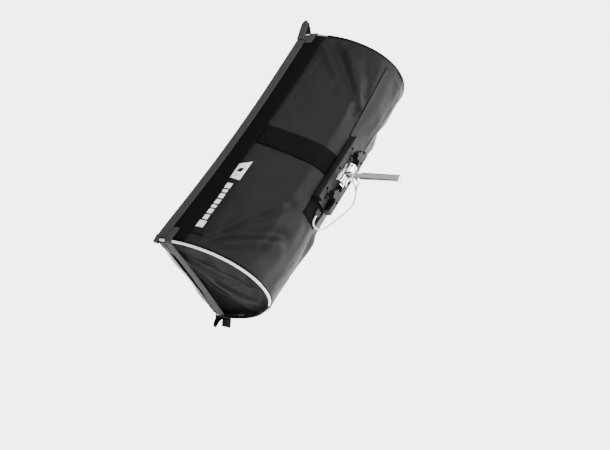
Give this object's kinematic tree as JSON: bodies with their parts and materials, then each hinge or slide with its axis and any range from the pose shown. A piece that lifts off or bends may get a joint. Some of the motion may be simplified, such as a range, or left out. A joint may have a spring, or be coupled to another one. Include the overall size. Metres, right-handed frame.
{
  "type": "tube lamp soft bag",
  "caption": "Half-round black cloth light bag with a white front cloth, sprung front frame, inner lamp clamps, two-rail back bracket and tilting stud on a yoke.",
  "frame": {"origin": "on the stud's axis at the shoulder that the stand's grip head meets", "axes": "+Y out along the stud, away from the bag; +X along the bag; +Z towards the labelled long side; the front cloth faces -Y"},
  "size_m": [0.628, 0.3463, 0.2338],
  "materials": {
    "bag_cloth": "coated nylon, soft sheen",
    "lining_cloth": "matte white",
    "diffuser_cloth": "matte translucent white",
    "loop_tape": "matte looped pile",
    "webbing": "woven, matte",
    "piping": "reflective woven",
    "label_black": "woven tape",
    "label_white": "woven tape",
    "black_plastic": "moulded",
    "black_metal": "black anodised, satin",
    "bright_steel": "plated, polished",
    "frame_steel": "drawn spring rod",
    "cord_white": "braided"
  },
  "bodies": {
    "stand_stud": {"stud": "bright_steel", "cord_loop": "cord_white"},
    "bag": {"bracket_base": "black_metal", "cord_anchor": "label_black", "corner_socket_left_bottom": "black_plastic", "corner_socket_left_top": "black_plastic", "corner_socket_right_bottom": "black_plastic", "corner_socket_right_top": "black_plastic", "corner_tab_left_bottom": "label_black", "corner_tab_left_top": "label_black", "corner_tab_right_bottom": "label_black", "corner_tab_right_top": "label_black", "end_panel_left": "bag_cloth", "end_panel_right": "bag_cloth", "end_strap_left": "webbing", "end_strap_right": "webbing", "frame_rod_bottom": "frame_steel", "frame_rod_left": "frame_steel", "frame_rod_right": "frame_steel", "frame_rod_top": "frame_steel", "hem_left": "label_black", "hem_right": "label_black", "inner_plate": "black_metal", "knob_washer_left": "bright_steel", "knob_washer_right": "bright_steel", "label_patch": "label_white", "label_tape": "label_black", "lining": "lining_cloth", "loop_strip_bottom": "loop_tape", "loop_strip_top": "loop_tape", "piping_left": "piping", "piping_right": "piping", "pivot_bolt": "bright_steel", "pivot_nut": "bright_steel", "rail_bottom": "black_metal", "rail_top": "black_metal", "rear_flap": "bag_cloth", "rear_strip": "loop_tape", "saddle_left": "black_plastic", "saddle_right": "black_plastic", "safety_cord": "cord_white", "shell": "bag_cloth", "side_strip_bottom": "loop_tape", "side_strip_top": "loop_tape", "webbing_bottom": "webbing", "webbing_top": "webbing", "yoke": "bright_steel", "yoke_screw_left": "bright_steel", "yoke_screw_right": "bright_steel"},
    "knob_left": {"clamp_knob_left": "black_plastic", "clamp_screw_left": "bright_steel"},
    "knob_right": {"clamp_knob_right": "black_plastic", "clamp_screw_right": "bright_steel"},
    "bar_left": {"clamp_bar_left": "black_plastic"},
    "bar_right": {"clamp_bar_right": "black_plastic"},
    "front_cloth": {"diffuser": "diffuser_cloth", "diffuser_border": "loop_tape"}
  },
  "joints": [
    {"name": "stud_tilt", "type": "hinge", "parent": "stand_stud", "child": "bag", "pos_m": [0, -0.034, 0], "axis": [1, 0, 0], "range_deg": [-60, 60], "deforming": ["safety_cord"]},
    {"name": "front_cloth_pull", "type": "slide", "parent": "bag", "child": "front_cloth", "axis": [0, -1, 0], "range_m": [0, 0.1]},
    {"name": "bar_left_travel", "type": "slide", "parent": "bag", "child": "bar_left", "axis": [0, -1, 0], "range_m": [0, 0.004]},
    {"name": "knob_left_turn", "type": "hinge", "parent": "bag", "child": "knob_left", "pos_m": [-0.05, -0.033, 0], "axis": [0, 1, 0], "range_deg": [0, 1441]},
    {"name": "bar_right_travel", "type": "slide", "parent": "bag", "child": "bar_right", "axis": [0, -1, 0], "range_m": [0, 0.004]},
    {"name": "knob_right_turn", "type": "hinge", "parent": "bag", "child": "knob_right", "pos_m": [0.05, -0.033, 0], "axis": [0, 1, 0], "range_deg": [0, 1441]}
  ],
  "couplings": [
    {"joint": "knob_left_turn", "follows": "bar_left_travel", "rad_per_m": 6283.2},
    {"joint": "knob_right_turn", "follows": "bar_right_travel", "rad_per_m": 6283.2}
  ]
}
